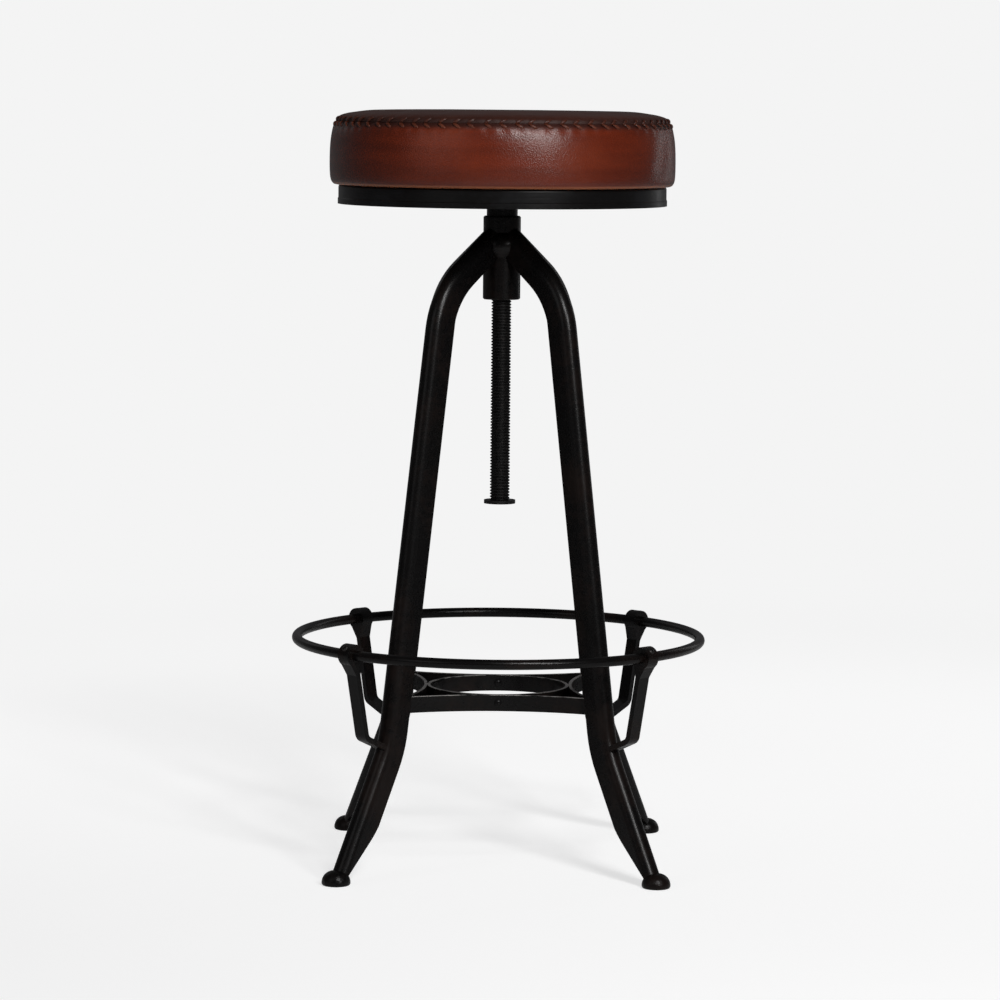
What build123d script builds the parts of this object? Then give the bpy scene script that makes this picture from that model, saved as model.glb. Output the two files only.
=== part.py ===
from build123d import *
import os
from math import asin, cos, radians, sin, sqrt, tan

# A backless bar stool: a laced leather cushion on a screw that turns in the collar of a four-legged
# steel stand. Millimetres, floor at z = 0, +Z up on the screw's axis, seat screwed right down.

# Collar at the head of the stand
COLLAR_R = 18.75
COLLAR_LENGTH = 83.5
COLLAR_BASE_Z = 567.5
COLLAR_CHAMFER = 1.2
YOKE_DROP = 29.0
YOKE_H = 25.0
YOKE_BULGE = 5.6

# Lift screw, its stop and the fits they run in
SCREW_R = 10.0
THREAD_PITCH = 3.0
LIFT_TURNS = 67
STOP_GAP = 1.0
RUNNING_FIT = 0.06
SCREW_CHAMFER = 1.0
STOP_WASHER_R = 15.8
STOP_WASHER_T = 3.5
STOP_BOLT_R = 4.0
STOP_BOLT_HEAD_R = 6.5
STOP_BOLT_LENGTH = 22.0

# Seat base
BOSS_R = 15.5
BOSS_FIT = 0.03
BOSS_SHOWN_H = 11.3
PAN_INSET = 8.45
PAN_SKIRT_H = 19.4
PAN_STEEL_T = 2.0
PAN_HEM_H = 6.0
PAN_HEM_STEP = 0.6
PAN_CORNER_R = 3.0
BOARD_INSET = 15.2
BOARD_T = 12.0
PAN_SCREW_R = 2.2
PAN_SCREW_HEAD_R = 4.2
PAN_SCREW_HEAD_H = 2.4
PAN_SCREW_BITE = 9.0
SCREW_HOLE_FIT = 0.03

# Cushion
CUSHION_R = 173.2
CUSHION_H = 74.5
CROWN_INSET = 28.2
CROWN_DROP = 2.2
SEAM_INSET = 5.2
SEAM_DROP = 11.5
SHOULDER_INSET = 1.5
SHOULDER_DROP = 22.0
LOWER_ROUND = 8.0
LEATHER_T = 2.0

# Legs: pressed channel with a half-round back, open towards the middle
LEG_WIDTH = 20.0
LEG_DEPTH = 25.5
LEG_WALL = 2.5
LEG_ROOT_DROP = 25.0
LEG_SHOULDER_DEG = 37.0
LEG_SPLAY_DEG = 8.5
LEG_KICK_DEG = 26.5
KICK_R = 153.2
KICK_Z = 130.0
SHOULDER_ROUND_R = 85.0
KICK_ROUND_R = 110.0
TRIM_Z = 76.0
TRIM_DEG = 17.0
TRIM_ROUND_R = 120.0

# Feet
FOOT_R = 14.2
FOOT_H = 14.4
FOOT_TOP_ROUND = 11.5
FOOT_EDGE_ROUND = 2.5
FOOT_OUTSET = 3.6
FOOT_SOCKET_Z = 7.0

# Brace between the legs
BRACE_Z = 161.2
BRACE_H = 16.3
STRIP_T = 3.0
BRACE_RING_R = 71.4
STRAP_LEAD = 1.5
RIVET_R = 2.2
RIVET_HEAD_R = 3.8
RIVET_HEAD_H = 1.6
RIVET_FIT = 0.03

# Footrest
RING_R = 203.5
RING_Z = 225.5
ROD_R = 5.0
ARM_WIDTH = 14.0
ARM_T = 5.5
ARM_REACH = 34.0
ARM_CORNER_DROP = 83.5
ARM_RISE_DEG = 24.0
ARM_ROUND_R = 8.0
EYE_WALL = 6.0
NECK_LENGTH = 20.0
EYE_SCREW_R = 2.0
EYE_SCREW_HEAD_R = 3.4
EYE_SCREW_HEAD_H = 2.0
EYE_SCREW_DEG = 45.0
EYE_SCREW_FIT = 0.03

# Sizes that follow from the ones above
COLLAR_TOP_Z = COLLAR_BASE_Z + COLLAR_LENGTH
SCREW_BASE_Z = COLLAR_BASE_Z - THREAD_PITCH * LIFT_TURNS - STOP_GAP
PAN_BASE_Z = COLLAR_TOP_Z + BOSS_SHOWN_H
PAN_TOP_Z = PAN_BASE_Z + PAN_SKIRT_H
BOSS_TOP_Z = PAN_TOP_Z - PAN_STEEL_T
CROWN_Z = PAN_TOP_Z + CUSHION_H
SEAM_Z = CROWN_Z - SEAM_DROP
PAN_R = CUSHION_R - PAN_INSET
BOARD_R = CUSHION_R - BOARD_INSET
CROWN_R = CUSHION_R - CROWN_INSET
SCREW_CIRCLE_R = BOARD_R * 2 / 3
LEG_BACK_R = LEG_WIDTH / 2
LEG_OPEN_DEPTH = LEG_DEPTH - LEG_BACK_R
STRAP_TAB = STRAP_LEAD + LEG_DEPTH
EYE_R = ROD_R + EYE_WALL
REACH = 10 * LEG_DEPTH

LEG_AZIMUTHS = {"front_left": 225, "front_right": 315, "rear_right": 45, "rear_left": 135}
STRAP_TURNS = {"front": 0, "right": 90, "rear": 180, "left": 270}


def rod(radius, bottom, top):
    """Upright cylinder on the axis between two heights."""
    return Pos(0, 0, bottom) * Cylinder(radius, top - bottom, align=(Align.CENTER, Align.CENTER, Align.MIN))


def turned(edges):
    """Solid of revolution about the axis, from edges drawn as radius and height."""
    return revolve(Plane.XZ * make_face(edges), Axis.Z)


def cap_radius(rim_r, height):
    """Radius of the sphere whose cap has this rim and height."""
    return (rim_r**2 + height**2) / (2 * height)


# Seat

def cushion_section():
    """Whole cross-section of the cushion: low crown, rolled upper edge, swelling side, tucked lower edge."""
    crown_edge = (CROWN_R, CROWN_Z - CROWN_DROP)
    seam = (CUSHION_R - SEAM_INSET, SEAM_Z)
    shoulder = (CUSHION_R - SHOULDER_INSET, CROWN_Z - SHOULDER_DROP)
    side = (CUSHION_R, (CROWN_Z - SHOULDER_DROP + PAN_TOP_Z + LOWER_ROUND) / 2)
    lower = (CUSHION_R - SHOULDER_INSET / 3, PAN_TOP_Z + LOWER_ROUND)
    tuck = (CUSHION_R - LOWER_ROUND, PAN_TOP_Z)
    crown = ThreePointArc((-CROWN_R, CROWN_Z - CROWN_DROP), (0, CROWN_Z), crown_edge)
    edge = TangentArc(crown_edge, seam, tangent=crown % 1)
    roll = TangentArc(seam, shoulder, tangent=edge % 1)
    swell = ThreePointArc(shoulder, side, lower)
    tuck_under = RadiusArc(lower, tuck, LOWER_ROUND)
    half = Curve() + [edge, roll, swell, tuck_under]
    other = mirror(half, about=Plane.YZ)
    floor = Line((-tuck[0], tuck[1]), tuck)
    return make_face(Curve() + [crown, half, other, floor])


def cushion_solid(inset):
    """Solid of the cushion, drawn in all round by an inset."""
    section = cushion_section()
    if inset:
        section = offset(section, -inset)
    half = section & Pos(REACH, CROWN_Z / 2) * Rectangle(2 * REACH, 2 * CROWN_Z)
    return revolve(Plane.XZ * half, Axis.Z)


def seat_board():
    board = rod(BOARD_R, PAN_TOP_Z, PAN_TOP_Z + BOARD_T)
    pilot = rod(PAN_SCREW_R + SCREW_HOLE_FIT, PAN_TOP_Z, PAN_TOP_Z + PAN_SCREW_BITE + SCREW_HOLE_FIT)
    return board - PolarLocations(SCREW_CIRCLE_R, 4) * pilot


def foam_pad():
    return cushion_solid(LEATHER_T) - rod(BOARD_R, PAN_TOP_Z, PAN_TOP_Z + BOARD_T)


def leather_panels():
    """Top panel and side band, which meet at the laced seam; the band's edge is tucked in to the board."""
    skin = cushion_solid(0) - cushion_solid(LEATHER_T) - rod(BOARD_R, PAN_TOP_Z, PAN_TOP_Z + BOARD_T)
    above = rod(2 * CUSHION_R, SEAM_Z, CROWN_Z + LEATHER_T)
    return skin & above, skin - above


def seat_pan():
    """Flat plate with a turned-down skirt and a hem along the skirt's lower edge."""
    skirt_r = PAN_R - PAN_HEM_STEP
    inner_r = skirt_r - PAN_STEEL_T
    top = Line((0, PAN_TOP_Z), (skirt_r - PAN_CORNER_R, PAN_TOP_Z))
    corner = RadiusArc(top @ 1, (skirt_r, PAN_TOP_Z - PAN_CORNER_R), PAN_CORNER_R)
    outside = Polyline(
        corner @ 1,
        (skirt_r, PAN_BASE_Z + PAN_HEM_H),
        (PAN_R, PAN_BASE_Z + PAN_HEM_H - PAN_HEM_STEP),
        (PAN_R, PAN_BASE_Z),
        (inner_r, PAN_BASE_Z),
        (inner_r, BOSS_TOP_Z),
        (0, BOSS_TOP_Z),
        (0, PAN_TOP_Z),
    )
    hole = rod(PAN_SCREW_R + SCREW_HOLE_FIT, BOSS_TOP_Z, PAN_TOP_Z)
    return turned(Curve() + [top, corner, outside]) - PolarLocations(SCREW_CIRCLE_R, 4) * hole


def pan_screws():
    """Wood screws from under the plate into the board."""
    head = rod(PAN_SCREW_HEAD_R, BOSS_TOP_Z - PAN_SCREW_HEAD_H, BOSS_TOP_Z)
    screw = head + rod(PAN_SCREW_R, BOSS_TOP_Z - PAN_SCREW_HEAD_H, PAN_TOP_Z + PAN_SCREW_BITE)
    return Compound([place * screw for place in PolarLocations(SCREW_CIRCLE_R, 4)])


def seat_boss():
    """Boss on the pan that holds the screw's upper end and comes down on the collar."""
    return rod(BOSS_R, COLLAR_TOP_Z, BOSS_TOP_Z) - rod(SCREW_R + BOSS_FIT, COLLAR_TOP_Z, BOSS_TOP_Z)


def lift_screw():
    """Screw at its outer diameter, tapped at the lower end for the stop's bolt."""
    blank = rod(SCREW_R, SCREW_BASE_Z, BOSS_TOP_Z)
    blank = chamfer(blank.edges().sort_by(Axis.Z)[0], SCREW_CHAMFER)
    return blank - rod(STOP_BOLT_R + SCREW_HOLE_FIT, SCREW_BASE_Z, SCREW_BASE_Z + STOP_BOLT_LENGTH)


def stop_bolt_section(clearance):
    """Half-section of the countersunk bolt, grown by a clearance, up to the screw's lower end."""
    radius = STOP_BOLT_R + clearance
    head_r = STOP_BOLT_HEAD_R + clearance
    bottom = SCREW_BASE_Z - STOP_WASHER_T
    return Polyline(
        (0, bottom),
        (head_r, bottom),
        (radius, bottom + head_r - radius),
        (radius, SCREW_BASE_Z),
        (0, SCREW_BASE_Z),
        close=True,
    )


def stop_bolt():
    shank = rod(STOP_BOLT_R, SCREW_BASE_Z, SCREW_BASE_Z + STOP_BOLT_LENGTH)
    return turned(stop_bolt_section(0)) + shank


def stop_washer():
    """Wide washer held loosely between the screw's end and the bolt's countersunk head."""
    blank = rod(STOP_WASHER_R, SCREW_BASE_Z - STOP_WASHER_T, SCREW_BASE_Z)
    return blank - turned(stop_bolt_section(RUNNING_FIT))


# Stand

def yoke_weld():
    """Weld laid round the collar, which fills the corners between the roots of the legs."""
    middle = COLLAR_TOP_Z - YOKE_DROP
    upper = (COLLAR_R, middle + YOKE_H / 2)
    lower = (COLLAR_R, middle - YOKE_H / 2)
    bulge = ThreePointArc(upper, (COLLAR_R + YOKE_BULGE, middle), lower)
    core = Polyline(lower, (0, lower[1]), (0, upper[1]), upper)
    return turned(Curve() + [bulge, core])


def collar():
    tube = rod(COLLAR_R, COLLAR_BASE_Z, COLLAR_TOP_Z)
    tube = chamfer(tube.edges().filter_by(GeomType.CIRCLE), COLLAR_CHAMFER) + yoke_weld()
    return tube - rod(SCREW_R + RUNNING_FIT, COLLAR_BASE_Z, COLLAR_TOP_Z)


def leg_radius(z):
    """Distance from the axis to the leg's centre line at a height, on the splayed or the kicked stretch."""
    angle = LEG_SPLAY_DEG if z > KICK_Z else LEG_KICK_DEG
    return KICK_R + tan(radians(angle)) * (KICK_Z - z)


def leg_path():
    """Centre line of the half-round back: sloping shoulder, long splayed stretch, kick to the floor."""
    root_z = COLLAR_TOP_Z - LEG_ROOT_DROP
    fall = tan(radians(LEG_SHOULDER_DEG))
    lean = tan(radians(LEG_SPLAY_DEG))
    start_r = COLLAR_R / 3
    start_z = root_z + fall * (COLLAR_R - start_r)
    corner_r = (KICK_R + lean * (KICK_Z - root_z - fall * COLLAR_R)) / (1 - lean * fall)
    corner_z = root_z - fall * (corner_r - COLLAR_R)
    points = [
        (start_r, 0, start_z),
        (corner_r, 0, corner_z),
        (KICK_R, 0, KICK_Z),
        (leg_radius(-LEG_DEPTH), 0, -LEG_DEPTH),
    ]
    return FilletPolyline(*points, radius=[SHOULDER_ROUND_R, KICK_ROUND_R])


def leg_section(back_r, half_width):
    """Half-round back with straight flanks down to the channel's open edge."""
    flanks = Pos(0, -LEG_OPEN_DEPTH / 2) * Rectangle(2 * half_width, LEG_OPEN_DEPTH)
    return Circle(back_r) + flanks


def swept_leg(section):
    path = leg_path()
    start = Plane(origin=path @ 0, x_dir=(0, 1, 0), z_dir=path % 0)
    return sweep(start * section, path=path)


def leg_blank():
    """Outer shape of the leg without its hollow, for what is fitted against its back."""
    return swept_leg(leg_section(LEG_BACK_R, LEG_BACK_R))


def trim_cutter():
    """Takes the flanks away in a sweep towards the foot and leaves a tongue of the back."""
    kick = radians(LEG_KICK_DEG)
    down = Vector(sin(kick), -cos(kick))
    back = Vector(cos(kick), sin(kick))
    run_in = LEG_WALL / 2
    start = Vector(leg_radius(TRIM_Z), TRIM_Z) - back * (LEG_OPEN_DEPTH + run_in)
    bend = JernArc(start, down, TRIM_ROUND_R, TRIM_DEG)
    end = bend @ 1 + (bend % 1) * REACH
    far = Polyline(bend @ 1, end, end - back * REACH, start - back * REACH, start)
    return extrude(Plane.XZ * make_face(Curve() + [bend, far]), LEG_WIDTH, both=True)


def leg():
    hollow_r = LEG_BACK_R - LEG_WALL
    channel = swept_leg(leg_section(LEG_BACK_R, LEG_BACK_R) - leg_section(hollow_r, hollow_r))
    below = Pos(0, 0, FOOT_SOCKET_Z) * Box(
        4 * RING_R, 4 * LEG_WIDTH, REACH, align=(Align.CENTER, Align.CENTER, Align.MAX)
    )
    core = rod(COLLAR_R, COLLAR_BASE_Z - REACH, COLLAR_TOP_Z + REACH) + yoke_weld()
    return channel - core - below - trim_cutter()


def foot(leg_solid):
    """Button-shaped foot round the leg's tongue."""
    body = rod(FOOT_R, 0, FOOT_H)
    body = fillet(body.edges().sort_by(Axis.Z)[-1], FOOT_TOP_ROUND)
    body = fillet(body.edges().sort_by(Axis.Z)[0], FOOT_EDGE_ROUND)
    return Pos(leg_radius(0) + FOOT_OUTSET, 0, 0) * body - leg_solid


def brace_ring_blank():
    top = BRACE_Z + BRACE_H
    return rod(BRACE_RING_R, BRACE_Z, top) - rod(BRACE_RING_R - STRIP_T, BRACE_Z, top)


def strap_arc():
    """Where the front strap's arc bends into its right-hand tab, and the arc's radius."""
    outward = Vector(1, -1) / sqrt(2)
    sideways = Vector(-1, -1) / sqrt(2)
    tab_start = leg_radius(BRACE_Z + BRACE_H) - LEG_OPEN_DEPTH - STRAP_LEAD
    bend = outward * tab_start + sideways * STRIP_T / 2
    sagitta = -(BRACE_RING_R + STRIP_T / 2) - bend.Y
    return bend, (bend.X**2 + sagitta**2) / (2 * sagitta)


def strap_blank():
    """Front strap: an arc that touches the ring at its middle, with tabs along the legs' middle planes."""
    bend, radius = strap_arc()
    centre = Pos(0, -(BRACE_RING_R + STRIP_T / 2) - radius)
    band = Circle(radius + STRIP_T / 2) - Circle(radius - STRIP_T / 2)
    wedge_h = 2 * radius
    wedge_w = wedge_h * tan(asin(bend.X / radius))
    wedge = make_face(Polyline((0, 0), (wedge_w, wedge_h), (-wedge_w, wedge_h), close=True))
    tab = Rectangle(STRAP_TAB, STRIP_T, align=(Align.MIN, Align.CENTER))
    right_tab = Pos(bend.X, bend.Y) * (Rot(0, 0, -45) * tab + Circle(STRIP_T / 2))
    outline = centre * (band & wedge) + right_tab + mirror(right_tab, about=Plane.YZ)
    return extrude(Pos(0, 0, BRACE_Z) * outline, BRACE_H)


def strap(leg_solid):
    """Front strap with its tabs cut to the backs of the channels, each against the next strap's tab."""
    pieces = strap_blank() - Rot(0, 0, 225) * leg_solid - Rot(0, 0, 315) * leg_solid
    return pieces.solids().sort_by(SortBy.VOLUME)[-1]


def brace_rivet_axis():
    """Frame of the front rivet, on the ring's outer face and pointing out through the strap."""
    return Plane(origin=(0, -BRACE_RING_R, BRACE_Z + BRACE_H / 2), z_dir=(0, -1, 0))


def dish(face_r):
    """How far the rim of a rivet's head stands off the bottom of a hollow face."""
    return face_r - sqrt(face_r**2 - RIVET_HEAD_R**2)


def brace_rivet():
    """Rivet through ring and strap, with a low head that seats by its rim on either hollow face."""
    outer = STRIP_T + dish(strap_arc()[1] - STRIP_T / 2)
    inner = -STRIP_T - dish(BRACE_RING_R - STRIP_T)
    cap_r = cap_radius(RIVET_HEAD_R, RIVET_HEAD_H)
    outer_head = RadiusArc((0, outer + RIVET_HEAD_H), (RIVET_HEAD_R, outer), cap_r)
    shank = Polyline((RIVET_HEAD_R, outer), (RIVET_R, outer), (RIVET_R, inner), (RIVET_HEAD_R, inner))
    inner_head = RadiusArc((RIVET_HEAD_R, inner), (0, inner - RIVET_HEAD_H), cap_r)
    axis = Line(inner_head @ 1, outer_head @ 0)
    return brace_rivet_axis() * turned(Curve() + [outer_head, shank, inner_head, axis])


def brace_rivet_hole():
    return brace_rivet_axis() * Cylinder(RIVET_R + RIVET_FIT, 4 * STRIP_T)


def foot_ring():
    return Pos(0, 0, RING_Z) * Torus(RING_R, ROD_R)


def eye_blank():
    return Pos(RING_R, 0, RING_Z) * Rot(90, 0, 0) * Cylinder(EYE_R, ARM_WIDTH)


def eye_screw_axis():
    tilt = radians(EYE_SCREW_DEG)
    return Plane(origin=(RING_R, 0, RING_Z), z_dir=(cos(tilt), 0, sin(tilt)))


def eye_neck(bend):
    """Flare between the flat bar and the eye, where the bar's end is turned back on itself."""
    centre = Vector(RING_R, RING_Z)
    along = (centre - Vector(*bend)).normalized()
    across = Vector(-along.Y, along.X)
    root = centre - along * NECK_LENGTH
    corners = [centre + across * EYE_R, centre - across * EYE_R]
    corners += [root - across * ARM_T / 2, root + across * ARM_T / 2]
    return extrude(Plane.XZ * make_face(Polyline(*corners, close=True)), ARM_WIDTH / 2, both=True)


def arm(blank, ring):
    """Flat bar from the leg's back at the kick, out, up and round the foot ring."""
    bend = (leg_radius(KICK_Z) + ARM_REACH, RING_Z - ARM_CORNER_DROP)
    root = (leg_radius(KICK_Z), bend[1] - tan(radians(ARM_RISE_DEG)) * ARM_REACH)
    points = [(root[0], 0, root[1]), (bend[0], 0, bend[1]), (RING_R, 0, RING_Z)]
    path = FilletPolyline(*points, radius=ARM_ROUND_R)
    start = Plane(origin=path @ 0, x_dir=(0, 1, 0), z_dir=path % 0)
    bar = sweep(start * Rectangle(ARM_WIDTH, ARM_T), path=path)
    hole = eye_screw_axis() * Cylinder(
        EYE_SCREW_R + EYE_SCREW_FIT, 2 * EYE_R, align=(Align.CENTER, Align.CENTER, Align.MIN)
    )
    return bar + eye_blank() + eye_neck(bend) - blank - ring - hole


def eye_screw():
    """Round-head screw through the eye that bears on the ring."""
    cap_r = cap_radius(EYE_SCREW_HEAD_R, EYE_SCREW_HEAD_H)
    sunk = EYE_R - EYE_WALL / 2
    cap = RadiusArc((0, EYE_R + EYE_SCREW_HEAD_H), (EYE_SCREW_HEAD_R, EYE_R), cap_r)
    rim = Polyline(cap @ 1, (EYE_SCREW_HEAD_R, sunk), (0, sunk), cap @ 0)
    head = eye_screw_axis() * turned(Curve() + [cap, rim]) - eye_blank()
    shank = Pos(0, 0, ROD_R + EYE_SCREW_FIT) * Cylinder(
        EYE_SCREW_R, EYE_WALL, align=(Align.CENTER, Align.CENTER, Align.MIN)
    )
    return head + eye_screw_axis() * shank


def seat_nodes():
    leather_top, leather_band = leather_panels()
    return {
        "leather_top": leather_top,
        "leather_band": leather_band,
        "foam_pad": foam_pad(),
        "seat_board": seat_board(),
        "seat_pan": seat_pan(),
        "pan_screws": pan_screws(),
        "seat_boss": seat_boss(),
        "lift_screw": lift_screw(),
        "stop_bolt": stop_bolt(),
        "stop_washer": stop_washer(),
    }


def stand_nodes(leg_solid):
    ring = foot_ring()
    foot_solid = foot(leg_solid)
    arm_solid = arm(leg_blank(), ring)
    nodes = {"collar": collar(), "foot_ring": ring}
    for place, azimuth in LEG_AZIMUTHS.items():
        turn = Rot(0, 0, azimuth)
        nodes[f"leg_{place}"] = turn * leg_solid
        nodes[f"foot_{place}"] = turn * foot_solid
        nodes[f"arm_{place}"] = turn * arm_solid
    screw = eye_screw()
    nodes["eye_screws"] = Compound([Rot(0, 0, azimuth) * screw for azimuth in LEG_AZIMUTHS.values()])
    return nodes


def brace_nodes(leg_solid):
    ring = brace_ring_blank()
    rivet = brace_rivet()
    hole = brace_rivet_hole()
    front_strap = strap(leg_solid) - hole
    nodes = {}
    for place, angle in STRAP_TURNS.items():
        turn = Rot(0, 0, angle)
        nodes[f"brace_strap_{place}"] = turn * front_strap
        ring -= turn * hole
    nodes["brace_ring"] = ring
    nodes["brace_rivets"] = Compound([Rot(0, 0, angle) * rivet for angle in STRAP_TURNS.values()])
    return nodes


os.makedirs("parts", exist_ok=True)
leg_solid = leg()
for name, solid in {**seat_nodes(), **stand_nodes(leg_solid), **brace_nodes(leg_solid)}.items():
    export_step(solid, f"parts/{name}.step")
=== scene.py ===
from math import cos, exp, hypot, pi, radians, sin, tanh

import bpy
from mathutils import Matrix, Vector


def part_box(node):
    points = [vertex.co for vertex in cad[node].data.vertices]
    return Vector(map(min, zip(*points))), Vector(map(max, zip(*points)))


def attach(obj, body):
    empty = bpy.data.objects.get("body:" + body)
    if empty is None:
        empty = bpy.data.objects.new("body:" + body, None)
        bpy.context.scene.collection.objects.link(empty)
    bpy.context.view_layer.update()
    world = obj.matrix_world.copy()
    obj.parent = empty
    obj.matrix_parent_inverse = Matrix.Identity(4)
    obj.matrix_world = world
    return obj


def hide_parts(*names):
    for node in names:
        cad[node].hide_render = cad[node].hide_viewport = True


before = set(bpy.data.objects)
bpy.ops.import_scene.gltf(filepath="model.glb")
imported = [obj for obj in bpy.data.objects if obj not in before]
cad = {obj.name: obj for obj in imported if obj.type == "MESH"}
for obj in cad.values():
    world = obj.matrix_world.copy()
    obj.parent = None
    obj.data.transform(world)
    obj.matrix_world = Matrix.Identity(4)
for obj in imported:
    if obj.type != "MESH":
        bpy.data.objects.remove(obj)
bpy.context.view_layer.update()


# Stand: a turned steel collar with four pressed channel legs welded round it, and the boss that comes down
# on the collar. All of it is sprayed with satin black lacquer, thin enough to go brown where it is rubbed.
class Value:
    """One output of a shader node. Sums and products of values add Math nodes to the same finish."""

    def __init__(self, finish, socket):
        self.finish = finish
        self.socket = socket

    def math(self, operation, first, second):
        return self.finish.node("Math", {"operation": operation}, {0: first, 1: second})

    def __add__(self, other):
        return self.math("ADD", self, other)

    def __sub__(self, other):
        return self.math("SUBTRACT", self, other)

    def __rsub__(self, other):
        return self.math("SUBTRACT", other, self)

    def __mul__(self, other):
        return self.math("MULTIPLY", self, other)

    __radd__ = __add__
    __rmul__ = __mul__


class Nodes:
    """Adds nodes to the tree of a material or of the studio's air."""

    def __init__(self, tree):
        self.tree = tree

    def node(self, kind, settings, inputs, output=0):
        """Adds a node with its settings, then the values or links of its sockets, and gives one output."""
        made = self.tree.nodes.new("ShaderNode" + kind)
        for setting, value in settings.items():
            setattr(made, setting, value)
        for socket, value in inputs.items():
            if isinstance(value, Value):
                self.tree.links.new(value.socket, made.inputs[socket])
            else:
                made.inputs[socket].default_value = value
        return Value(self, made.outputs[output])

    def noise(self, place, scale, detail):
        return self.node("TexNoise", {}, {"Vector": place, "Scale": scale, "Detail": detail})

    def cells(self, place, scale):
        return self.node("TexVoronoi", {"feature": "SMOOTH_F1"}, {"Vector": place, "Scale": scale})

    def step(self, value, low, high):
        """Smooth rise from 0 at low to 1 at high."""
        settings = {"interpolation_type": "SMOOTHSTEP"}
        return self.node("MapRange", settings, {"Value": value, "From Min": low, "From Max": high})

    def blend(self, share, first, second):
        """Mixes two colours."""
        return self.node("Mix", {"data_type": "RGBA"}, {0: share, 6: first, 7: second}, 2)

    def bump(self, relief, depth):
        return self.node("Bump", {}, {"Height": relief, "Distance": depth}, "Normal")


class Finish(Nodes):
    """A material with its Principled shader and the place on the piece that its patterns follow."""

    def __init__(self, name, constants):
        self.material = bpy.data.materials.new(name)
        self.material.use_nodes = True
        super().__init__(self.material.node_tree)
        self.shader = self.tree.nodes["Principled BSDF"]
        for socket, value in constants.items():
            self.shader.inputs[socket].default_value = value
        self.place = self.node("TexCoord", {}, {}, "Object")

    def stretched(self, along_x, along_y, along_z):
        """The place with its three directions scaled, so that a pattern runs in streaks."""
        return self.node("Mapping", {}, {"Vector": self.place, "Scale": (along_x, along_y, along_z)})

    def along(self, axis):
        return self.node("SeparateXYZ", {}, {0: self.place}, axis)

    def so_far(self, socket):
        """What already feeds a socket of the shader, for a further layer over it."""
        return Value(self, self.shader.inputs[socket].links[0].from_socket)

    def feed(self, inputs):
        for socket, value in inputs.items():
            self.tree.links.new(value.socket, self.shader.inputs[socket])

    def paint(self, *pieces):
        for piece in pieces:
            piece.data.materials.clear()
            piece.data.materials.append(self.material)


def colour(red, green, blue):
    """A colour read off as 0 to 255 on a screen, as the shader's linear light."""
    return (*[((c / 255 + 0.055) / 1.055) ** 2.4 for c in (red, green, blue)], 1)


def lacquer(name, black, rubbed, gloss):
    """Satin black lacquer with a faint orange peel, cloudy gloss and patches rubbed thin."""
    finish = Finish(name, {"Specular IOR Level": 0.15})
    cloud = finish.noise(finish.place, 14, 4)
    fine = finish.noise(finish.place, 160, 3)
    peel = finish.noise(finish.place, 620, 2)
    thin = finish.step(cloud + 0.35 * fine, 0.62, 0.86)
    finish.feed({
        "Base Color": finish.blend(thin, black, rubbed),
        "Roughness": gloss + 0.1 * cloud + 0.07 * fine,
        "Normal": finish.bump(peel + 0.6 * fine, 0.00006),
    })
    return finish


SATIN_BLACK = colour(11, 10, 10)
RUBBED_BROWN = colour(22, 16, 14)
CORNERS = ["front_left", "front_right", "rear_left", "rear_right"]
frame_lacquer = lacquer("frame_lacquer", SATIN_BLACK, RUBBED_BROWN, 0.19)
frame_lacquer.paint(cad["collar"], cad["seat_boss"], *[cad["leg_" + corner] for corner in CORNERS])


# Feet: button-shaped iron castings pushed over the tongues of the legs and sprayed with them. The sand of
# the mould still shows as a coarser skin under the lacquer.
cast_lacquer = lacquer("cast_lacquer", SATIN_BLACK, RUBBED_BROWN, 0.22)
sand = cast_lacquer.noise(cast_lacquer.place, 380, 4)
cast_lacquer.feed({"Normal": cast_lacquer.bump(sand, 0.0005)})
cast_lacquer.paint(*[cad["foot_" + corner] for corner in CORNERS])


# Brace: four bowed flat strips and a ring of the same strip, riveted where they touch. The saw left the
# upper edges sharp, and handling has worn the lacquer there down to bright steel.
BRIGHT_STEEL = colour(196, 192, 188)
STRIP_EDGE = 0.0006
brace_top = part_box("brace_ring")[1].z
brace_lacquer = lacquer("brace_lacquer", SATIN_BLACK, RUBBED_BROWN, 0.2)
rubbed = brace_lacquer.step(brace_lacquer.along("Z"), brace_top - STRIP_EDGE, brace_top - STRIP_EDGE / 4)
patchy = brace_lacquer.step(brace_lacquer.noise(brace_lacquer.place, 60, 5), 0.36, 0.56)
worn = rubbed * patchy
brace_lacquer.feed({
    "Base Color": brace_lacquer.blend(worn, brace_lacquer.so_far("Base Color"), BRIGHT_STEEL),
    "Metallic": worn,
})
straps = [cad["brace_strap_" + side] for side in ("front", "right", "rear", "left")]
brace_lacquer.paint(cad["brace_ring"], cad["brace_rivets"], *straps)


# Footrest: a ring of round bar held in the eyes of four cranked flat arms, which are welded to the legs.
# It has the same lacquer as the legs, a little glossier.
rest_lacquer = lacquer("rest_lacquer", SATIN_BLACK, RUBBED_BROWN, 0.18)
rest_lacquer.paint(cad["foot_ring"], *[cad["arm_" + corner] for corner in CORNERS])


# Eye screws: blackened round-head screws, one through each eye, tightened on the ring with a flat driver.
# A head is turned, its slot is sawn, and it is set in the eye at half a right angle.
def fresh(piece):
    """Selects one piece alone."""
    bpy.ops.object.select_all(action="DESELECT")
    bpy.context.view_layer.objects.active = piece
    piece.select_set(True)


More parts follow.
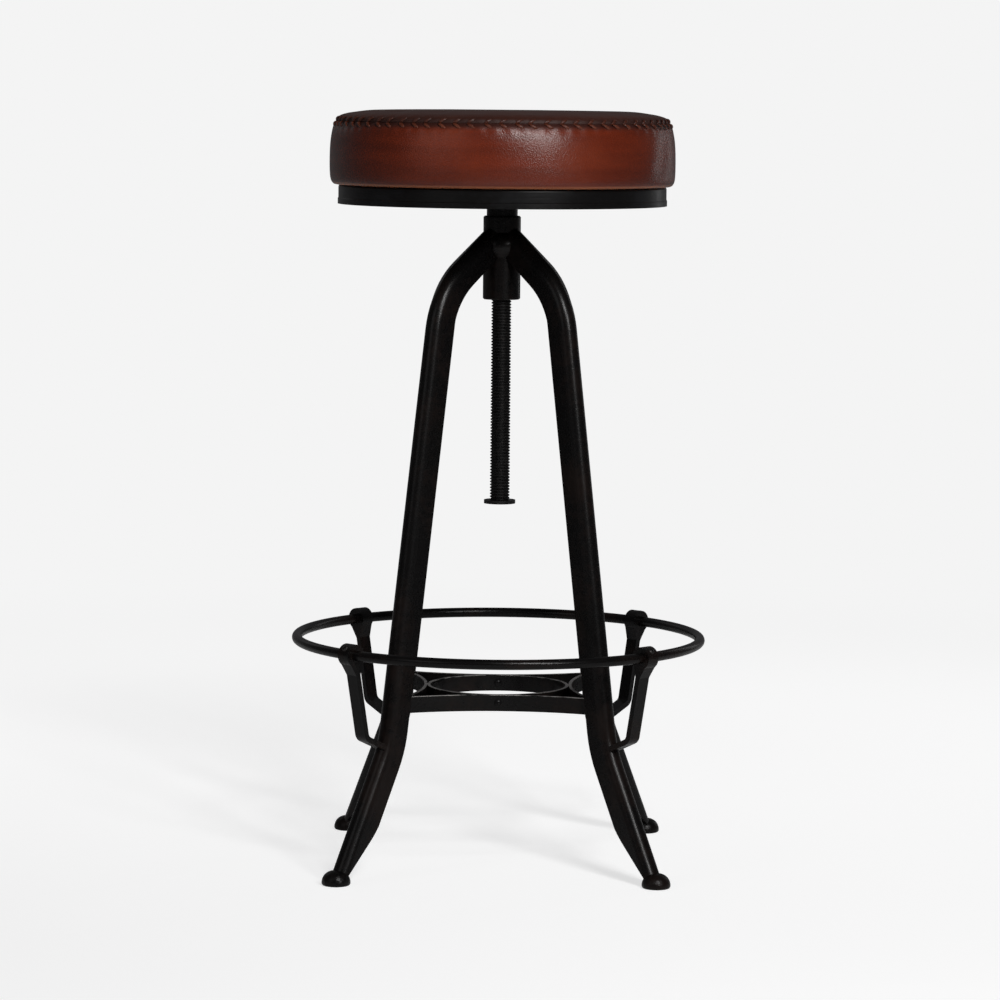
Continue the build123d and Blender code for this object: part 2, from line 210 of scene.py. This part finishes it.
def lathe(name, rings, sides, ends):
    """Draws a ring and extrudes it through the others; the ends are closed by faces or by a grid."""
    bpy.ops.object.select_all(action="DESELECT")
    bpy.ops.mesh.primitive_circle_add(vertices=sides, radius=rings[0][0], location=(0, 0, rings[0][1]))
    piece = bpy.context.object
    piece.name = name
    bpy.ops.object.transform_apply(location=True, rotation=True, scale=True)
    bpy.ops.object.mode_set(mode="EDIT")
    bpy.ops.mesh.select_all(action="SELECT")
    close = {"face": bpy.ops.mesh.edge_face_add, "grid": bpy.ops.mesh.fill_grid}[ends]
    close()
    bpy.ops.mesh.select_all(action="SELECT")
    bpy.ops.mesh.region_to_loop()
    for (near_r, near_z), (far_r, far_z) in zip(rings, rings[1:]):
        bpy.ops.mesh.extrude_edges_move(TRANSFORM_OT_translate={"value": (0, 0, far_z - near_z)})
        bpy.ops.transform.resize(value=(far_r / near_r, far_r / near_r, 1))
    close()
    bpy.ops.mesh.select_all(action="SELECT")
    bpy.ops.mesh.normals_make_consistent(inside=False)
    # An extrusion's faces come in another order each run, and cloth made of them would swell differently.
    # They are sorted by distance from one place and then another, so that no two are left level.
    cursor = bpy.context.scene.cursor
    for place in ((0.3, 0.2, 0.7), (-0.1, 0.4, 0.6)):
        cursor.location = place
        bpy.ops.mesh.sort_elements(type="CURSOR_DISTANCE", elements={"EDGE", "FACE"})
    cursor.location = (0, 0, 0)
    bpy.ops.object.mode_set(mode="OBJECT")
    return piece


def cut(piece, corner_box):
    """Saws a box-shaped slot out of a piece."""
    bpy.ops.object.select_all(action="DESELECT")
    low, high = Vector(corner_box[0]), Vector(corner_box[1])
    bpy.ops.mesh.primitive_cube_add(size=1, location=(low + high) / 2, scale=high - low)
    saw = bpy.context.object
    fresh(piece)
    slot = piece.modifiers.new("slot", "BOOLEAN")
    slot.object = saw
    slot.operation = "DIFFERENCE"
    bpy.ops.object.modifier_apply(modifier=slot.name)
    bpy.data.objects.remove(saw)


def copies(name, model, places):
    """Copies a model to each place, joins the copies into one piece and removes the model."""
    made = []
    for place in places:
        copy = model.copy()
        copy.data = model.data.copy()
        copy.data.transform(place)
        bpy.context.collection.objects.link(copy)
        made.append(copy)
    bpy.data.objects.remove(model)
    fresh(made[0])
    for copy in made:
        copy.select_set(True)
    bpy.ops.object.join()
    made[0].name = name
    bpy.ops.object.shade_smooth_by_angle(angle=radians(40))
    return made[0]


def screw_head(name, radius, rise, shank_r, shank, sides):
    """Round-head screw pointing up from z = 0, with a short shank below."""
    rings = [(shank_r, -shank), (shank_r, 0), (radius, 0)]
    rings += [(radius * cos(radians(a)), rise * sin(radians(a))) for a in (12, 30, 48, 66, 82)]
    return lathe(name, rings, sides, "face")


def blackened(name, dark, light):
    """Blackened steel: thin oxide with paler handling marks, half metal."""
    finish = Finish(name, {"Specular IOR Level": 0.5})
    mottle = finish.noise(finish.place, 220, 5)
    scratch = finish.noise(finish.stretched(60, 900, 300), 6, 2)
    finish.feed({
        "Base Color": finish.blend(finish.step(mottle, 0.4, 0.75), dark, light),
        "Metallic": 0.35 + 0.4 * mottle,
        "Roughness": 0.26 + 0.25 * mottle,
        "Normal": finish.bump(mottle + 0.5 * scratch, 0.00006),
    })
    return finish


BAR_R = 0.005
EYE_R = 0.011
EYE_HEAD_R = 0.0034
EYE_HEAD_RISE = 0.002
EYE_SHANK_R = 0.002
EYE_SHANK = 0.0055
EYE_SLOT_FLOOR = 0.0009
HEAD_SINK = 0.0004
HEAD_SIDES = 28
SLOT_W = 0.0008
SAW_REACH = 0.01
ring_low, ring_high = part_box("foot_ring")
ring_r = ring_high.x - BAR_R
ring_z = (ring_low.z + ring_high.z) / 2
head = screw_head("eye_screw_model", EYE_HEAD_R, EYE_HEAD_RISE, EYE_SHANK_R, EYE_SHANK, HEAD_SIDES)
cut(head, [(-SAW_REACH, -SLOT_W / 2, EYE_SLOT_FLOOR), (SAW_REACH, SLOT_W / 2, SAW_REACH)])
lean = Matrix.Translation((ring_r, 0, ring_z)) @ Matrix.Rotation(radians(45), 4, "Y")
turns = [Matrix.Rotation(radians(45 + 90 * quarter), 4, "Z") for quarter in range(4)]
seats = [turn @ lean @ Matrix.Translation((0, 0, EYE_R - HEAD_SINK)) for turn in turns]
eye_screws = copies("slotted_eye_screws", head, seats)
screw_black = blackened("screw_black", colour(18, 16, 16), colour(52, 49, 47))
screw_black.paint(eye_screws)
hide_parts("eye_screws")
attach(eye_screws, "stand")


# Lift screw: a steel bar with a right-hand thread from end to end, black with oil and old lacquer. It turns
# in the collar and carries the seat; a loose washer and a countersunk bolt stop it at the top.
THREAD_PITCH = 0.003
THREAD_DEPTH = 0.0012
THREAD_STEPS = 30
CREST_GAP = 0.0001
MERGE = 0.00001
screw_low, screw_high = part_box("lift_screw")
crest = screw_high.x - CREST_GAP
root = crest - THREAD_DEPTH
form = [(root, 0.0), (root, 0.2), (crest, 0.42), (crest, 0.78), (root, 1.0)]
bpy.ops.object.select_all(action="DESELECT")
bpy.ops.mesh.primitive_plane_add(size=0.001, location=(root, 0, screw_low.z - 2 * THREAD_PITCH))
thread = bpy.context.object
thread.name = "threaded_screw"
bpy.ops.object.transform_apply(location=True, rotation=True, scale=True)
bpy.ops.object.mode_set(mode="EDIT")
bpy.ops.mesh.select_all(action="SELECT")
bpy.ops.mesh.merge(type="CENTER")
for (near_r, near_z), (far_r, far_z) in zip(form, form[1:]):
    move = (far_r - near_r, 0, (far_z - near_z) * THREAD_PITCH)
    bpy.ops.mesh.extrude_vertices_move(TRANSFORM_OT_translate={"value": move})
bpy.ops.object.mode_set(mode="OBJECT")
helix = thread.modifiers.new("helix", "SCREW")
helix.screw_offset = THREAD_PITCH
helix.iterations = int((screw_high.z - screw_low.z) / THREAD_PITCH) + 4
helix.steps = helix.render_steps = THREAD_STEPS
helix.use_merge_vertices = True
helix.merge_threshold = MERGE
fresh(thread)
bpy.ops.object.modifier_apply(modifier=helix.name)
bpy.ops.object.mode_set(mode="EDIT")
for z, side in ((screw_low.z, -1), (screw_high.z, 1)):
    bpy.ops.mesh.select_all(action="SELECT")
    bpy.ops.mesh.bisect(plane_co=(0, 0, z), plane_no=(0, 0, side), use_fill=True, clear_outer=True)
bpy.ops.mesh.select_all(action="SELECT")
bpy.ops.mesh.remove_doubles(threshold=MERGE)
bpy.ops.mesh.normals_make_consistent(inside=False)
bpy.ops.object.mode_set(mode="OBJECT")
bpy.ops.object.shade_smooth_by_angle(angle=radians(35))
screw_oil = blackened("screw_oil", colour(12, 11, 11), colour(30, 27, 26))
screw_oil.paint(thread, cad["stop_washer"], cad["stop_bolt"])
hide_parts("lift_screw")
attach(thread, "seat")


# Seat pan: a spun steel plate with a turned-down skirt and a hem along its lower edge, black like the
# stand. The skirt is scuffed in long faint marks round it.
pan_lacquer = lacquer("pan_lacquer", SATIN_BLACK, colour(19, 19, 20), 0.3)
scuffs = pan_lacquer.noise(pan_lacquer.stretched(9, 9, 700), 1, 4)
smear = pan_lacquer.noise(pan_lacquer.place, 45, 3)
pan_lacquer.feed({
    "Roughness": 0.2 + 0.14 * smear + 0.12 * scuffs,
    "Normal": pan_lacquer.bump(scuffs + 0.4 * smear, 0.00015),
})
pan_lacquer.paint(cad["seat_pan"])


# Pan screws: four blackened wood screws with slotted round heads, driven up through the pan's plate into
# the board.
PAN_HEAD_R = 0.0042
PAN_HEAD_RISE = 0.0024
PAN_SHANK_R = 0.0022
PAN_SLOT_FLOOR = 0.0011
head_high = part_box("pan_screws")[1]
plate_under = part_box("seat_boss")[1].z
circle_r = head_high.x - PAN_HEAD_R
shank = head_high.z - plate_under
head = screw_head("pan_screw_model", PAN_HEAD_R, PAN_HEAD_RISE, PAN_SHANK_R, shank, HEAD_SIDES)
cut(head, [(-SAW_REACH, -SLOT_W / 2, PAN_SLOT_FLOOR), (SAW_REACH, SLOT_W / 2, SAW_REACH)])
downward = Matrix.Translation((circle_r, 0, plate_under)) @ Matrix.Rotation(pi, 4, "X")
seats = [Matrix.Rotation(pi / 2 * quarter, 4, "Z") @ downward for quarter in range(4)]
pan_screws = copies("slotted_pan_screws", head, seats)
screw_black.paint(pan_screws)
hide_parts("pan_screws")
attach(pan_screws, "seat")


# Board: a disc of birch plywood under the foam, hidden by the leather. Its plies show as stripes in height,
# and the face veneers have a long grain.
ply = Finish("birch_ply", {"Specular IOR Level": 0.3})
grain = ply.noise(ply.stretched(14, 160, 160), 1, 5)
plies = ply.node("TexWave", {"bands_direction": "Z"}, {"Vector": ply.place, "Scale": 110})
ply.feed({
    "Base Color": ply.blend(0.5 * grain + 0.4 * plies, colour(214, 184, 142), colour(160, 120, 82)),
    "Roughness": 0.55 + 0.2 * grain,
    "Normal": ply.bump(grain, 0.0002),
})
ply.paint(cad["seat_board"])


# Cushion: foam on the board under burnished red-brown leather, cut as a round top panel and a side band
# that is pulled down over the pan's edge and tucked under. The leather is taut, with a swelling side; shade
# is painted into its colour, darker towards the left and right flanks, the foot of the band and the seam.
STITCHES = 70
SIDES = 3 * STITCHES
LEATHER = 0.0016
SEAM_DROP = 0.0002
SEAM_INSET = 0.0065
LEAN_REACH = 0.0107
TUCK_INSET = 0.0014
TUCK_REACH = 0.009
HEM_INSET = 0.0034
HEM_REACH = 0.002
UNDER_INSET = 0.008
UNDER_SAG = 0.0004
EDGE_REACH = 0.024
EDGE_RISE = 0.0092
EDGE_TURN = radians(75)
CROWN_R = 0.139
CROWN_FALL = 0.0014
CROWN_GAP = 0.0011
BAND_RINGS = 14
EDGE_RINGS = 6
band_low, band_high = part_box("leather_band")
top_low, top_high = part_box("leather_top")
base_z = band_low.z
outer_r = band_high.x
seam_z = top_low.z - SEAM_DROP
seam_r = outer_r - SEAM_INSET
under_r = outer_r - UNDER_INSET
band_height = seam_z - base_z


def band_inset(height):
    """How far the band stands in from its widest radius: it leans in to the seam and is tucked in below."""
    lean = SEAM_INSET * exp((height - band_height) / LEAN_REACH)
    tuck = TUCK_INSET * exp(-height / TUCK_REACH) + HEM_INSET * exp(-height / HEM_REACH)
    return lean + tuck


under = [(r, base_z) for r in (0.09, 0.115, 0.14, under_r - 0.004)]
under.append((under_r, base_z - UNDER_SAG))
heights = [band_height * (1 - cos(pi * ring / BAND_RINGS)) / 2 for ring in range(BAND_RINGS)]
band = [(outer_r - band_inset(height), base_z + height) for height in heights]
slopes = [EDGE_TURN * ring / EDGE_RINGS for ring in range(EDGE_RINGS + 1)]
edge = [(seam_r - EDGE_REACH * (1 - cos(slope)), seam_z + EDGE_RISE * sin(slope)) for slope in slopes]
crown_z = top_high.z - CROWN_GAP
crown = [(r, crown_z - CROWN_FALL * (r / CROWN_R) ** 2) for r in (CROWN_R, 0.13, 0.12, 0.11, 0.1, 0.09)]
rings = under + band + edge + crown
cushion = lathe("cushion", rings, SIDES, "grid")
bpy.ops.object.shade_smooth()


SKIN_IN = 0.47
SKIN_UP = 0.88
HELD = 0.0005


def past_seam(point):
    """How far a point lies on the top panel's side of the laced seam, along the skin's slope there."""
    return (seam_r - hypot(point.x, point.y)) * SKIN_IN + (point.z - seam_z) * SKIN_UP


for polygon in cushion.data.polygons:
    polygon.material_index = 1 if past_seam(polygon.center) > 0 else 0
sewn = cushion.vertex_groups.new(name="sewn")
for vertex in cushion.data.vertices:
    on_seam = hypot(hypot(vertex.co.x, vertex.co.y) - seam_r, vertex.co.z - seam_z) < HELD
    if on_seam or vertex.co.z < base_z + HELD:
        sewn.add([vertex.index], 1, "REPLACE")

# The stuffing presses the leather out between its sewn edges; only the push outwards is kept.
TOP_SWELL = 0.0018
SIDE_SWELL = 0.0015
STUFFING_STEPS = 20
slack = [(vertex.co.copy(), vertex.normal.copy()) for vertex in cushion.data.vertices]
fresh(cushion)
cloth = cushion.modifiers.new("stuffing", "CLOTH")
cloth.settings.quality = 6
cloth.settings.mass = 0.4
cloth.settings.tension_stiffness = 30
cloth.settings.compression_stiffness = 30
cloth.settings.shear_stiffness = 20
cloth.settings.bending_stiffness = 4
cloth.settings.use_pressure = True
cloth.settings.uniform_pressure_force = 4
cloth.settings.effector_weights.gravity = 0
cloth.settings.vertex_group_mass = sewn.name
for step in range(1, STUFFING_STEPS + 1):
    bpy.context.scene.frame_set(step)
bpy.ops.object.modifier_apply(modifier=cloth.name)
bpy.context.scene.frame_set(1)
for vertex, (start, outward) in zip(cushion.data.vertices, slack):
    push = max(0, (vertex.co - start).dot(outward))
    most = TOP_SWELL if start.z > seam_z else SIDE_SWELL
    vertex.co = start + outward * most * tanh(push / most)

fresh(cushion)
fine = cushion.modifiers.new("fine", "SUBSURF")
fine.levels = fine.render_levels = 1
bpy.ops.object.modifier_apply(modifier=fine.name)

GROOVE = 0.0011
GROOVE_W = 0.0026
GATHER = 0.0004
GATHER_AT = 0.005
GATHER_W = 0.005
FREE_FROM = 0.02
WAVE = 0.00035
DENT = 0.0014
DENT_BEARING = -1.16
DENT_Z = 0.03
DENT_SLANT = 2.2
DENT_W = 0.1
FOLD = 0.0005
FOLD_AT = 0.14
FOLD_W = 0.09


def swing(point):
    """Bearing of a point round the seat's axis, 0 at the front and negative on the right."""
    return Vector((0, -1)).angle_signed(Vector((point.x, point.y))) if hypot(point.x, point.y) > 0 else 0


def hump(distance, width):
    """Smooth hump, 1 at its middle."""
    return exp(-((distance / width) ** 2))


def hand_pull(point):
    """How far the leather stands out of its even form: groove and gathers at the seam, uneven pulling."""
    from_middle = hypot(point.x, point.y)
    from_seam = hypot(from_middle - seam_r, point.z - seam_z)
    bearing = swing(point)
    groove = -GROOVE * hump(from_seam, GROOVE_W)
    gather = -GATHER * cos(STITCHES * bearing) * hump(from_seam - GATHER_AT, GATHER_W)
    free = min(1, max(0, (point.z - base_z) / FREE_FROM)) * min(1, (from_middle / outer_r) ** 4)
    waves = sin(3 * bearing + 1.1) + 0.7 * sin(7 * bearing + 2.3) + 0.5 * sin(13 * bearing + 0.4)
    across = bearing - DENT_BEARING + DENT_SLANT * (point.z - base_z - DENT_Z)
    crumple = FOLD * hump(across - FOLD_AT, FOLD_W) - DENT * hump(across, DENT_W)
    if point.z > seam_z:
        crumple = 0
    return groove + gather + free * (WAVE * waves + crumple)


normals = [vertex.normal.copy() for vertex in cushion.data.vertices]
for vertex, normal in zip(cushion.data.vertices, normals):
    vertex.co += normal * hand_pull(vertex.co)

top_panel = cushion.copy()
top_panel.data = cushion.data.copy()
top_panel.name = "leather_top_panel"
bpy.context.collection.objects.link(top_panel)
fresh(top_panel)
bpy.ops.object.mode_set(mode="EDIT")
bpy.ops.mesh.select_mode(type="FACE")
bpy.ops.mesh.select_all(action="DESELECT")
bpy.ops.object.mode_set(mode="OBJECT")
for polygon in top_panel.data.polygons:
    polygon.select = polygon.material_index == 0
bpy.ops.object.mode_set(mode="EDIT")
bpy.ops.mesh.delete(type="FACE")
bpy.ops.object.mode_set(mode="OBJECT")
skin = top_panel.modifiers.new("skin", "SOLIDIFY")
skin.thickness = LEATHER
skin.offset = -1
bpy.ops.object.modifier_apply(modifier=skin.name)

# Under the top panel the cushion is drawn in by a little more than the leather's thickness.
ROOM = 1.15 * LEATHER
ROOM_FROM = 0.003
ROOM_DROP = 0.002
cushion.name = "leather_banded_cushion"
normals = [vertex.normal.copy() for vertex in cushion.data.vertices]
for vertex, normal in zip(cushion.data.vertices, normals):
    inside = past_seam(vertex.co)
    if vertex.co.z > seam_z - ROOM_DROP and inside > 0:
        vertex.co -= normal * (ROOM * min(1, inside / ROOM_FROM))


def leather(name, deep, warm, pale, gloss):
    """Burnished leather: streaks from the dyer's cloth, fine pebbled grain and a waxed, uneven gloss."""
    finish = Finish(name, {"Specular IOR Level": 0.32})
    streak = finish.noise(finish.stretched(7, 7, 95), 1, 5)
    cloud = finish.noise(finish.place, 16, 4)
    grain = finish.cells(finish.place, 850)
    pores = finish.noise(finish.place, 1500, 2)
    dyed = finish.blend(finish.step(streak, 0.2, 0.8), deep, warm)
    lit = finish.blend(0.45 * finish.step(cloud, 0.5, 0.8), dyed, pale)
    crease = finish.step(grain, 0.25, 0.75)
    finish.feed({
        "Base Color": finish.blend(0.22 * crease, lit, deep),
        "Roughness": gloss + 0.1 * cloud + 0.08 * grain,
        "Normal": finish.bump(1 - grain + 0.35 * pores, 0.00018),
    })
    return finish


band_leather = leather("band_leather", colour(84, 28, 12), colour(108, 38, 16), colour(118, 47, 21), 0.21)
# Painted shade: the band is darkened towards its left and right flanks, where the light falls off.
sideways = band_leather.along("X")
painted_flank_shade = band_leather.step(sideways * sideways, 0.001, 0.03)
body = band_leather.blend(0.55 * painted_flank_shade, band_leather.so_far("Base Color"), colour(42, 16, 10))
# Painted shade: the band is darker towards its foot, where it rolls under towards the pan.
painted_low_shade = 1 - band_leather.step(band_leather.along("Z"), base_z + 0.002, base_z + 0.034)
body = band_leather.blend(0.42 * painted_low_shade, body, colour(52, 18, 11))
# Painted shade: the band is darkened along the seam under the lacing; it is also rougher there.
seam_shade_zone = band_leather.step(band_leather.along("Z"), seam_z - 0.0085, seam_z - 0.0015)
body = band_leather.blend(0.85 * seam_shade_zone, body, colour(34, 16, 12))
edge_line = 1 - band_leather.step(band_leather.along("Z"), base_z + 0.001, base_z + 0.0034)
band_leather.feed({
    "Base Color": band_leather.blend(0.6 * edge_line, body, colour(160, 96, 62)),
    "Roughness": band_leather.so_far("Roughness") + 0.2 * seam_shade_zone,
})
band_leather.paint(cushion)
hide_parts("leather_band", "foam_pad")
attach(cushion, "seat")

top_leather = leather("top_leather", colour(52, 23, 15), colour(70, 32, 20), colour(78, 40, 27), 0.32)
# Painted shade: the top panel is darkened along its edge at the seam; it is also rougher there.
rim_shade_zone = 1 - top_leather.step(top_leather.along("Z"), seam_z + 0.0022, seam_z + 0.0068)
top_leather.feed({
    "Base Color": top_leather.blend(0.75 * rim_shade_zone, top_leather.so_far("Base Color"), colour(38, 17, 12)),
    "Roughness": top_leather.so_far("Roughness") + 0.22 * rim_shade_zone,
})
top_leather.paint(top_panel)
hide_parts("leather_top")
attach(top_panel, "seat")


# Lacing: a flat leather thong that sews the top panel to the band in a herringbone. Each stitch leaves the
# seam in two strokes, one up over the edge of the top, coloured darker, and one down on the band.
THONG_W = 0.005
THONG_T = 0.0018
REACH_UP = 0.006
REACH_DOWN = 0.0056
LEAD = 0.0058
SEAM_LEAN = radians(27)
CURL_UP = 66
CURL_DOWN = 16
STRAY = 0.006


def seam_path(along):
    """Radius and height of the cushion's skin, and its outward direction, at a distance up from the seam."""
    curl = along * (CURL_UP if along > 0 else CURL_DOWN)
    middle = SEAM_LEAN + curl / 2
    return seam_r - along * sin(middle), seam_z + along * cos(middle), SEAM_LEAN + curl


def stroke(name, reach):
    """One stroke of thong, from the seam over to its hole, following the skin; it dips in at both ends."""
    bpy.ops.object.select_all(action="DESELECT")
    bpy.ops.mesh.primitive_cylinder_add(vertices=8, radius=0.5, depth=1, end_fill_type="NGON")
    piece = bpy.context.object
    piece.name = name
    bpy.ops.object.mode_set(mode="EDIT")
    bpy.ops.mesh.select_all(action="SELECT")
    bpy.ops.mesh.bisect(plane_co=(0, 0, 0), plane_no=(0, 0, 1))
    for level in (-0.42, -0.28, -0.14, 0.14, 0.28, 0.42):
        bpy.ops.mesh.select_all(action="SELECT")
        bpy.ops.mesh.bisect(plane_co=(0, 0, level), plane_no=(0, 0, 1))
    bpy.ops.object.mode_set(mode="OBJECT")
    for vertex in piece.data.vertices:
        share = vertex.co.z + 0.5
        radius, height, tilt = seam_path(reach * share)
        rise = THONG_T * (sin(pi * share) ** 0.6 - 0.55)
        width = THONG_W * (0.72 + 0.28 * sin(pi * share))
        out = vertex.co.y * THONG_T + rise
        across = vertex.co.x * width + LEAD * (share - 0.5)
        vertex.co = Vector((across, -(radius + out * cos(tilt)), height + out * sin(tilt)))
    fresh(piece)
    bpy.ops.object.mode_set(mode="EDIT")
    bpy.ops.mesh.select_all(action="SELECT")
    bpy.ops.mesh.normals_make_consistent(inside=False)
    bpy.ops.object.mode_set(mode="OBJECT")
    return piece


def handed(number, spread):
    """Small angle by which the sewing hand strays at a stitch."""
    return spread * (sin(2.1 * number) + 0.6 * sin(5.3 * number + 1))


upper = stroke("upper_stroke_model", REACH_UP)
lower = stroke("lower_stroke_model", -REACH_DOWN)
fresh(upper)
lower.select_set(True)
bpy.ops.object.join()
bearings = [2 * pi * number / STITCHES + handed(number, STRAY) for number in range(STITCHES)]
lacing = copies("seam_lacing", upper, [Matrix.Rotation(bearing, 4, "Z") for bearing in bearings])
bpy.ops.object.shade_smooth()
thong = leather("thong_leather", colour(58, 25, 15), colour(92, 42, 23), colour(112, 56, 34), 0.34)
# The thong is coloured darker above the seam, on the upper strokes.
above_seam_darker = thong.step(thong.along("Z"), seam_z - 0.001, seam_z + 0.0016)
thong.feed({"Base Color": thong.blend(0.6 * above_seam_darker, thong.so_far("Base Color"), colour(46, 19, 12))})
thong.paint(lacing)
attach(lacing, "seat")


# Floor and studio: a plain pale sweep that glows towards the camera and still takes the shadow, a high and
# a low soft box at the front right, a weak fill on the left, and two weak lamps behind for the edges.
PALE = colour(244, 244, 244)
FRONT_GLOW = 1.46
REAR_GLOW = 1.88
bpy.ops.object.select_all(action="DESELECT")
bpy.ops.mesh.primitive_plane_add(size=60)
floor = bpy.context.object
floor.name = "floor"
matt = {"Roughness": 0.9, "Specular IOR Level": 0, "Base Color": colour(240, 240, 240)}
sweep = Finish("pale_sweep", matt)
path = sweep.node("LightPath", {}, {}, "Is Camera Ray")
gloss_path = sweep.node("LightPath", {}, {}, "Is Glossy Ray")
distance = sweep.node("VectorMath", {"operation": "LENGTH"}, {0: sweep.place}, "Value")
far = sweep.step(distance, 0.6, 2.4)
rear = sweep.step(sweep.along("Y"), -0.9, 0.7)
front_pale, rear_pale = [(*[level * part for part in PALE[:3]], 1) for level in (FRONT_GLOW, REAR_GLOW)]
near_pale = sweep.blend(rear, front_pale, rear_pale)
glow = sweep.node("Emission", {}, {"Color": sweep.blend(far * (1.6 - 0.6 * far), near_pale, PALE)})
share = (path + 0.1 * gloss_path) * (0.45 + 0.55 * far)
shaded = Value(sweep, sweep.shader.outputs[0])
surface = sweep.node("MixShader", {}, {0: share, 1: shaded, 2: glow})
sweep.tree.links.new(surface.socket, sweep.tree.nodes["Material Output"].inputs["Surface"])
sweep.paint(floor)

world = bpy.data.worlds.new("studio")
world.use_nodes = True
bpy.context.scene.world = world
air = Nodes(world.node_tree)
direction = air.node("TexCoord", {}, {}, "Generated")
ahead = air.step(air.node("SeparateXYZ", {}, {0: direction}, "Y"), 0.1, 0.5)
seen = air.node("LightPath", {}, {}, "Is Camera Ray")
mirrored = air.node("LightPath", {}, {}, "Is Glossy Ray")
passed = air.node("LightPath", {}, {}, "Is Transmission Ray")
bright = seen + 0.05 * (mirrored + passed) * ahead
tone = air.blend(bright, (0.06, 0.06, 0.063, 1), PALE)
background = world.node_tree.nodes["Background"]
air.tree.links.new(tone.socket, background.inputs["Color"])


def lamp(name, place, aim, width, height, power):
    """Rectangular soft box at a place, pointed at its aim."""
    light = bpy.data.lights.new(name, "AREA")
    light.shape = "RECTANGLE"
    light.size = width
    light.size_y = height
    light.energy = power
    box = bpy.data.objects.new(name, light)
    box.location = place
    box.rotation_euler = (Vector(aim) - Vector(place)).to_track_quat("-Z", "Y").to_euler()
    bpy.context.collection.objects.link(box)


lamp("key_box", (0.75, -2.3, 2.15), (0, 0, 0.55), 0.5, 0.5, 38)
lamp("low_box", (1.15, -2.2, 1.42), (0, 0, 0.6), 0.3, 0.5, 21)
lamp("left_box", (-1.9, -2.0, 1.5), (0, 0, 0.45), 1.2, 1.4, 5)
lamp("edge_box", (1.6, 1.7, 1.0), (0, 0, 0.45), 0.16, 1.3, 1.4)
lamp("back_box", (-1.5, 2.0, 1.6), (0, 0, 0.45), 1.0, 1.0, 0.7)

FOCAL_PX = 4214
FRAME_PX = 1000
SENSOR_MM = 36
CAMERA_PLACE = (0.0004, -4.227, 0.781)
CAMERA_DOWN = 5.62
CAMERA_ROLL = 0.533
camera_data = bpy.data.cameras.new("camera")
camera_data.sensor_width = SENSOR_MM
camera_data.lens = FOCAL_PX * SENSOR_MM / FRAME_PX
camera = bpy.data.objects.new("camera", camera_data)
bpy.context.collection.objects.link(camera)
tip = Matrix.Rotation(radians(90 - CAMERA_DOWN), 4, "X") @ Matrix.Rotation(radians(CAMERA_ROLL), 4, "Z")
camera.matrix_world = Matrix.Translation(CAMERA_PLACE) @ tip
bpy.context.scene.camera = camera
bpy.context.scene.view_settings.view_transform = "Standard"
